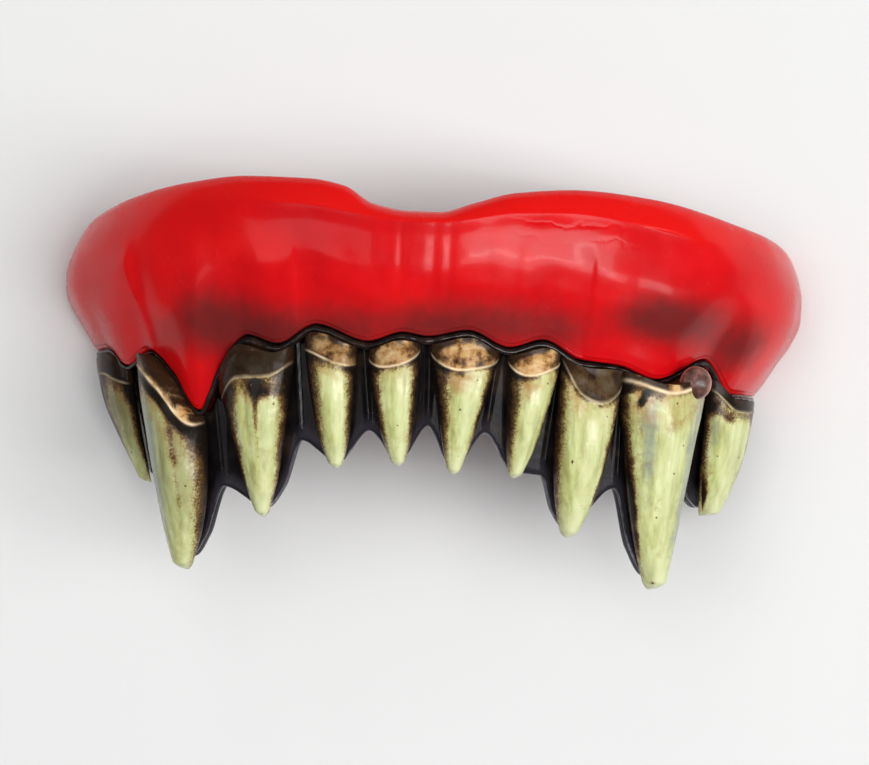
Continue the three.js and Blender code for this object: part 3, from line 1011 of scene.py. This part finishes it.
def strip_lap(at, share):
    """Height and outward place of the strip's lap behind the gum: share 0 at the gum line, 1 at its top."""
    line = gum_line(at)
    height = line + share * STRIP_LAP
    up = (height - line) / (shoulder(at) - line)
    return height, gum_out(at, up) - GUM_WALL - GAP


def fold_at(tooth, following, down):
    """The angle of the film's fold between two teeth, which leans as they do."""
    top = (tooth["at"] + following["at"]) / 2
    foot = (tip_at(tooth) + tip_at(following)) / 2
    return lerp(top, foot, down)


def film_folds(at, down):
    """How far the film's folds stand out, one between each two teeth."""
    total = 0
    for tooth, following, strength in zip(TEETH, TEETH[1:], FOLDS):
        away = (at - fold_at(tooth, following, down)) * stride(at)
        total = total + bump(away, 0, FOLD_WIDTH) * strength
    return FOLD_HEIGHT * total * smoothstep(1.02, 0.9, down)


def strip_shell():
    """The smoky strip: its lap behind the gum, its folded face, its rolled lower edge and its back."""
    at = column(-90, 90, STRIP_COLUMNS)
    top, edge = gum_line(at) - GAP, strip_edge(at)
    lap_height, lap_out = strip_lap(at, row(1, 0, STRIP_LAP_ROWS))
    down = row(0, 1, STRIP_FACE_ROWS)
    face_height = lerp(top, edge, down)
    face_out = strip_face(at, face_height) + film_folds(at, down)
    roll = row(0, np.pi, STRIP_ROLL_ROWS + 2)[:, 1:-1]
    half_wall = STRIP_WALL / 2
    roll_height = edge - half_wall * 0.6 * np.sin(roll)
    roll_out = strip_face(at, edge) - half_wall + half_wall * np.cos(roll)
    inner_height = lerp(top, edge, row(1, 0, STRIP_INNER_ROWS))
    inner_out = strip_face(at, inner_height) - STRIP_WALL
    back_height, back_out = strip_lap(at, row(0, 1, STRIP_LAP_ROWS + 1))
    outline = (
        (lap_height, lap_out),
        (face_height, face_out),
        (roll_height, roll_out),
        (inner_height, inner_out),
        (back_height, back_out - STRIP_WALL),
    )
    rings = np.concatenate([arch_point(at, height, out) for height, out in outline], axis=1)
    thin = smoothstep(1.5, 0.1, rings[..., 1] - SHIFT_Y - edge)
    piece = sweep("strip_shell", rings, SMOKED_FILM, {"thin": thin})
    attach(piece, "root")
    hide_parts("tooth_strip")
    return piece


def seen_across(rings):
    """How far across a tooth each point lies as seen from the front, -1 to 1, and held past either edge."""
    x = rings[..., 0]
    left, right = x.argmin(1)[:, None], x.argmax(1)[:, None]
    lowest, highest = x.min(1, keepdims=True), x.max(1, keepdims=True)
    count = rings.shape[1]
    point = np.arange(count)[None, :]
    behind = (point - left) % count > (right - left) % count
    near_left = (left - point) % count < (point - right) % count
    return np.where(behind, np.where(near_left, -1, 1), 2 * (x - lowest) / (highest - lowest) - 1)


def reach_in(share, side):
    """Paint that fades from a tooth's edge inward over a share of its width, fainter if that is small."""
    return np.clip((side - 1 + 2 * share) / (2 * share + 0.04), 0, 1) ** 1.25 * min(1, share / 0.15)


def fang_grid():
    """The grid of a fang: down its length, and how far forward and across each of its sides points."""
    down = column(0, 1, TOOTH_RINGS) ** 1.15
    turn = (2 * np.pi * np.arange(TOOTH_SIDES) / TOOTH_SIDES)[None, :]
    return down, np.sin(turn), -np.cos(turn)


DOWN, FRONT, ACROSS = fang_grid()
ON_FRONT = smoothstep(-0.1, 0.5, FRONT)


def ledge_line(stain):
    """How far down the collar's ledge runs round the tooth, as a share of the length."""
    droop = stain["droop"] * (1 - ACROSS**2) ** 0.7
    return stain["ledge"] + droop - stain["tilt"] * ACROSS


def crown_relief(stain, below):
    """The valley and two fine creases down the crown, and the ledge at the collar's end."""
    body = smoothstep(0, 0.12, below) * smoothstep(1, 0.7, DOWN)
    groove = -GROOVE_DEPTH * stain["groove"] * bump(ACROSS, GROOVE_ACROSS, 0.13) * body
    valley = groove * smoothstep(0.75, 0.35, DOWN)
    creases = -CREASE_DEPTH * (bump(ACROSS, -0.45, 0.12) + bump(ACROSS, 0.5, 0.1)) * body
    ledge = LEDGE_HEIGHT * bump(below, -0.008, 0.011)
    return (valley + creases + ledge) * ON_FRONT


def fang_rings(tooth, stain, ledge_at):
    """A drooping collar, and a crown that swings and tapers to its tip with its back on the film."""
    hang = (ledge_at - SECTION_LEDGE) * smoothstep(0.4, 0.2, DOWN) * ON_FRONT
    wide = along(TOOTH_SECTIONS, "wide", DOWN, "down")
    thick = along(TOOTH_SECTIONS, "thick", np.clip(DOWN - hang, 0, 1), "down")
    taper = (1 - DOWN ** tooth["belly"]) ** TAPER_ROUNDING
    tip = TIP_RADIUS * tooth["tip"] * np.sqrt(np.clip((1 - DOWN) / TIP_ROUNDING, 0.002, 1))
    half_width = tip + (tooth["wide"] * TOOTH_WIDTH / 2 - tip) * wide * taper
    thickness = 2 * tip + (tooth["thick"] * TOOTH_THICKNESS - 2 * tip) * thick * taper
    swing = TOOTH_WIDTH * (tooth["side"] * DOWN**SWING_CURVE + tooth["bow"] * np.sin(np.pi * DOWN))
    at = tooth["at"] + (swing + half_width * ACROSS) / stride(tooth["at"])
    before = lerp(WAIST, 1, np.clip(FRONT, 0, 1))
    behind = WAIST * (1 - np.clip(-FRONT, 0, 1) ** 0.6)
    depth = np.where(FRONT > 0, before, behind) * thickness
    height = lerp(collar_top(at), -tooth["long"] * TOOTH_LENGTH, DOWN)
    relief = crown_relief(stain, DOWN - ledge_at)
    out = strip_face(at, height) + TOOTH_STAND_OFF + depth + relief
    rings = arch_point(at, height, out)
    lumps = rough(rings, LUMP_SIZE, LUMP_SEED + TEETH.index(tooth)) * ON_FRONT * smoothstep(1, 0.9, DOWN)
    return rings + lumps[..., None] * LUMP_HEIGHT * np.array([0.3, 0.2, 1])


def marks_on(tooth, side):
    """The single dark marks of one tooth."""
    total = 0
    for mark in MARKS:
        if mark["tooth"] == tooth["name"]:
            middle = mark["across"] + mark["leans"] * (DOWN - mark["down"])
            spot = bump(side, middle, mark["wide"]) * bump(DOWN, mark["down"], mark["high"])
            total = total + mark["dark"] * spot * (FRONT > 0)
    return total


def brown_paint(tooth, stain, rings, side, uneven, below):
    """Brown down both sides, at the neck, in the valley, in the marks, over the collar and behind."""
    fade = lerp(0.45, 1, smoothstep(1.05, 0.55, DOWN))
    left = reach_in(stain["left"], -side) * fade
    right = reach_in(stain["right"], side) * fade
    marked = marks_on(tooth, side)
    neck = smoothstep(stain["neck"] + 0.06, 0, below + 0.03 * uneven) * (below > -0.02)
    valley = stain["groove"] * bump(side, GROOVE_ACROSS, 0.13) * smoothstep(0.95, 0.25, DOWN)
    crown = 0.5 * neck + left + right + 0.75 * valley + marked
    patches = smoothstep(-0.35, 0.2, rough(rings, 1.6, PATCH_SEED + TEETH.index(tooth), 2))
    top = smoothstep(max(0.08, 0.6 * stain["ledge"]), 0, DOWN) * patches
    corner = smoothstep(0.5, 1, abs(side))
    collar = 0.5 * left + 0.3 * right + 0.7 * corner + 1.1 * top + 0.2 * uneven + marked
    painted = np.clip(np.where(below < 0, collar, crown), 0, 1)
    return np.maximum(painted, 0.95 * smoothstep(-0.4, -0.8, FRONT))


def ledge_highlight(stain, side, uneven, below):
    """A cream painted highlight along the ledge's edge, patchy, and fainter at the tooth's corners."""
    strength = (0.35 + 0.65 * stain["collar"]) * np.clip(0.8 + 0.9 * uneven, 0, 1)
    at_corner = smoothstep(0.5, 1, abs(side))
    return bump(below, -0.008, 0.009) * ON_FRONT * (strength * (1 - 0.3 * at_corner))


def grey_paint(stain, side):
    """A grey streak down the crown, and grey down one flank."""
    streak = stain["grey"] * bump(side, stain["streak"], 0.22) * smoothstep(0.02, 0.12, DOWN)
    toward_flank = side if stain["flank"] > 0 else -side
    flank = abs(stain["flank"]) * smoothstep(0.55, 0.95, toward_flank)
    return streak * smoothstep(0.75, 0.3, DOWN) + flank * smoothstep(1, 0.7, DOWN)


def rust_paint(stain, side, uneven, below):
    """Orange under the collar, weaker toward the right."""
    under = smoothstep(0.24, 0, below + 0.06 * uneven)
    return stain["rust"] * under * lerp(0.5, 1, smoothstep(0.5, -0.6, side))


def highlight_and_pale_tip(stain, side):
    """A painted highlight right of the middle, and paler ivory at the tip."""
    right = bump(side, 0.35, 0.35) * smoothstep(0.15, 0.3, DOWN) * 0.45
    return (right + 0.5 * smoothstep(0.75, 1, DOWN)) * (1 - stain["shade"])


def fang(tooth, stain):
    """One stained fang."""
    ledge_at = ledge_line(stain)
    below = DOWN - ledge_at
    rings = fang_rings(tooth, stain, ledge_at)
    uneven = rough(rings, 1.1, UNEVEN_SEED + TEETH.index(tooth), 2)
    side = seen_across(rings) + 0.06 * uneven
    masks = {
        "stain": brown_paint(tooth, stain, rings, side, uneven, below),
        "collar": smoothstep(0.004, -0.008, below),
        "bright": stain["collar"],
        "ledge": ledge_highlight(stain, side, uneven, below),
        "grey": grey_paint(stain, side),
        # A painted highlight right of the middle, and a paler tip.
        "pale_tip_and_highlight": highlight_and_pale_tip(stain, side),
        "rust": rust_paint(stain, side, uneven, below),
        # Brown paint and painted shade, strongest toward the collar.
        "shade": stain["shade"] * smoothstep(1, 0.35, DOWN + 0.1 * uneven),
    }
    piece = sweep(tooth["name"], rings, STAINED_IVORY, masks)
    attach(piece, "root")
    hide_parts(tooth["node"])
    return piece


def bead_tree():
    """Geometry Nodes that lay a round bead along a path of edges, thick as the path's own share says."""
    tree = bpy.data.node_groups.new("Bead along a path", "GeometryNodeTree")
    kinds = {
        "Geometry": "NodeSocketGeometry",
        "Radius": "NodeSocketFloat",
        "Sides": "NodeSocketInt",
        "Unevenness": "NodeSocketFloat",
        "Lump size": "NodeSocketFloat",
        "Seed": "NodeSocketFloat",
        "Material": "NodeSocketMaterial",
    }
    identifiers = {}
    for name, kind in kinds.items():
        socket = tree.interface.new_socket(name, in_out="INPUT", socket_type=kind)
        identifiers[name] = socket.identifier
    tree.interface.new_socket("Geometry", in_out="OUTPUT", socket_type="NodeSocketGeometry")
    build = Nodes(tree)
    given = build.add("NodeGroupInput").outputs
    share = build.add("GeometryNodeInputNamedAttribute", {"data_type": "FLOAT"}, Name="share")
    curve = build.add("GeometryNodeMeshToCurve", Mesh=given["Geometry"])
    ring = build.add("GeometryNodeCurvePrimitiveCircle", Resolution=given["Sides"], Radius=given["Radius"])
    tube = build.add(
        "GeometryNodeCurveToMesh",
        Curve=curve.outputs[0],
        Profile_Curve=ring.outputs["Curve"],
        Scale=share.outputs["Attribute"],
        Fill_Caps=True,
    )
    position = build.add("GeometryNodeInputPosition").outputs[0]
    spread = build.scaled(position, build.math("DIVIDE", 1, given["Lump size"]))
    lumps = build.add(
        "ShaderNodeTexNoise", {"noise_dimensions": "4D"}, Vector=spread, W=given["Seed"], Scale=1
    )
    level = build.math("SUBTRACT", lumps.outputs["Fac"], 0.5)
    normal = build.add("GeometryNodeInputNormal").outputs[0]
    push = build.scaled(normal, build.math("MULTIPLY", level, given["Unevenness"]))
    uneven = build.add("GeometryNodeSetPosition", Geometry=tube.outputs[0], Offset=push)
    smooth = build.add("GeometryNodeSetShadeSmooth", Geometry=uneven.outputs[0])
    real = build.add("GeometryNodeRealizeInstances", Geometry=smooth.outputs[0])
    painted = build.add("GeometryNodeSetMaterial", Geometry=real.outputs[0], Material=given["Material"])
    build.add("NodeGroupOutput", Geometry=painted.outputs[0])
    return tree, identifiers


BEAD_TREE, BEAD_INPUTS = bead_tree()


def swept(name, points, share, material, radius, sides, unevenness, seed):
    """A bead along a path of points, made by the bead tree and kept as a plain mesh."""
    path = bpy.data.meshes.new(name + "_path")
    edges = [(i, i + 1) for i in range(len(points) - 1)]
    path.from_pydata((points * MM).tolist(), edges, [])
    path.attributes.new("share", "FLOAT", "POINT").data.foreach_set("value", share.astype(np.float32))
    guide = in_scene(name + "_path", path)
    modifier = guide.modifiers.new("Bead", "NODES")
    modifier.node_group = BEAD_TREE
    values = {
        "Radius": radius * MM,
        "Sides": sides,
        "Unevenness": unevenness * MM,
        "Lump size": BEAD_LUMP_SIZE * MM,
        "Seed": float(seed),
        "Material": material,
    }
    for socket, value in values.items():
        modifier[BEAD_INPUTS[socket]] = value
    evaluated = guide.evaluated_get(bpy.context.evaluated_depsgraph_get())
    mesh = bpy.data.meshes.new_from_object(evaluated)
    mesh.name = name
    bpy.data.objects.remove(guide)
    return in_scene(name, mesh)


def margin_bead():
    """The black bead under the gum line."""
    at = np.linspace(-89.4, 89.4, BEAD_STEPS)
    share = bead_share(at)
    radius = BEAD_RADIUS * share
    points = arch_point(at, gum_line(at) - GAP / 2 - radius, -radius - 0.1)
    piece = swept(
        "margin_bead", points, share, BLACK_LACQUER, BEAD_RADIUS, BEAD_SIDES, BEAD_UNEVENNESS, BEAD_SEED
    )
    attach(piece, "root")
    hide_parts("tooth_strip")
    return piece


def film_lip():
    """The fine rolled lip along the film's lower edge."""
    at = np.linspace(-89.6, 89.6, LIP_STEPS)
    height = strip_edge(at)
    points = arch_point(at, height - LIP_UP, strip_face(at, height) - LIP_IN)
    share = np.ones(LIP_STEPS)
    piece = swept("film_lip", points, share, FILM_EDGE, LIP_RADIUS, LIP_SIDES, LIP_UNEVENNESS, LIP_SEED)
    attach(piece, "root")
    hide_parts("tooth_strip")
    return piece


def neck_nub():
    """The little clear bump at the neck of the big right fang."""
    polar = column(0.02, np.pi - 0.02, NUB_RINGS)
    turn = (2 * np.pi * np.arange(NUB_SIDES) / NUB_SIDES)[None, :]
    across, forward = np.sin(polar) * np.cos(turn), np.sin(polar) * np.sin(turn)
    ball = np.stack(np.broadcast_arrays(across, np.cos(polar), forward), axis=-1)
    centre = arch_point(NUB_AT, NUB_HEIGHT, NUB_OUT)
    piece = sweep("neck_nub", centre + ball * np.array(NUB_STRETCH) * NUB_RADIUS, NUB_PLASTIC)
    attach(piece, "root")
    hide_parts("right_tooth_4")
    return piece


# The photo's framing: its scale at the part's floor, the camera's distance, and where things lie in it.
PHOTO_PX_PER_MM = 5.4
CAMERA_DISTANCE = 550
PHOTO_VIEW_WIDTH = 418
ROLL = math.radians(2.5)
ORIGIN_RIGHT_OF_MIDDLE_PX = -2.1
SENSOR = 36

# The light: where the lamps aim, the room's colour and strength, and the floor's size and colour.
LIGHT_TARGET = (0, 0, 0.015)
ROOM_COLOUR = (0.9, 0.93, 1, 1)
ROOM_STRENGTH = 0.14
FLOOR_HALF = 3
FLOOR_COLOUR = (0.74, 0.74, 0.73, 1)


def camera():
    """Straight down on the part as it lies, which is the photo's view of its front."""
    data = bpy.data.cameras.new("camera")
    eye = in_scene("camera", data)
    data.sensor_width = SENSOR
    data.lens = SENSOR * CAMERA_DISTANCE / (PHOTO_VIEW_WIDTH / PHOTO_PX_PER_MM)
    offset = -ORIGIN_RIGHT_OF_MIDDLE_PX / PHOTO_PX_PER_MM * MM
    eye.location = (offset * math.cos(ROLL), offset * math.sin(ROLL), CAMERA_DISTANCE * MM)
    eye.rotation_euler = (0, 0, ROLL)
    data.clip_start = 0.01
    data.clip_end = 10
    bpy.context.scene.camera = eye


def area_light(name, direction, distance, size, radiance, in_gloss=True):
    """A soft light in a direction from the part, whose brightness is given as its face's radiance."""
    data = bpy.data.lights.new(name, "AREA")
    data.shape = "RECTANGLE"
    data.size, data.size_y = size
    data.energy = radiance * math.pi * size[0] * size[1]
    lamp = in_scene(name, data)
    target = Vector(LIGHT_TARGET)
    lamp.location = target + Vector(direction).normalized() * distance
    lamp.rotation_euler = (target - lamp.location).to_track_quat("-Z", "Y").to_euler()
    lamp.visible_glossy = in_gloss


def lights():
    """A broad soft key from the right, a narrow strip beside it, and fills that leave no glint."""
    area_light("key", (0.46, -0.01, 0.885), 0.62, (0.28, 0.52), 5.2)
    area_light("side_key", (0.79, -0.17, 0.62), 0.62, (0.12, 0.2), 6)
    area_light("glint_strip", (0.42, -0.05, 0.9), 0.6, (0.022, 0.36), 14)
    area_light("left_key", (-0.53, 0, 0.85), 0.62, (0.22, 0.34), 1.8)
    area_light("crown_light", (-0.3, 0.72, 0.62), 0.6, (0.1, 0.1), 4, in_gloss=False)
    area_light("front_fill", (-0.22, 0.2, 0.95), 0.75, (0.5, 0.5), 2.4, in_gloss=False)
    area_light("right_fill", (0.78, 0.08, 0.6), 0.7, (0.4, 0.4), 1.1, in_gloss=False)


def surround():
    """The faint light of the room, and colours shown as they are."""
    world = bpy.data.worlds.new("surround")
    world.use_nodes = True
    background = world.node_tree.nodes["Background"]
    background.inputs[0].default_value = ROOM_COLOUR
    background.inputs[1].default_value = ROOM_STRENGTH
    bpy.context.scene.world = world
    settings = bpy.context.scene.view_settings
    settings.view_transform = "Standard"
    settings.look = "None"


def pale_floor():
    """The plain floor that the part lies on."""
    mesh = bpy.data.meshes.new("floor")
    near, far = -FLOOR_HALF, FLOOR_HALF
    mesh.from_pydata([(near, near, 0), (far, near, 0), (far, far, 0), (near, far, 0)], [], [(0, 1, 2, 3)])
    material, _, surface = new_material("pale_floor")
    set_values(surface, Base_Color=FLOOR_COLOUR, Roughness=0.7)
    mesh.materials.append(material)
    floor = in_scene("floor", mesh)


gum_shell()
strip_shell()
margin_bead()
film_lip()
neck_nub()
for tooth, stain in zip(TEETH, STAINS):
    fang(tooth, stain)
camera()
lights()
surround()
pale_floor()
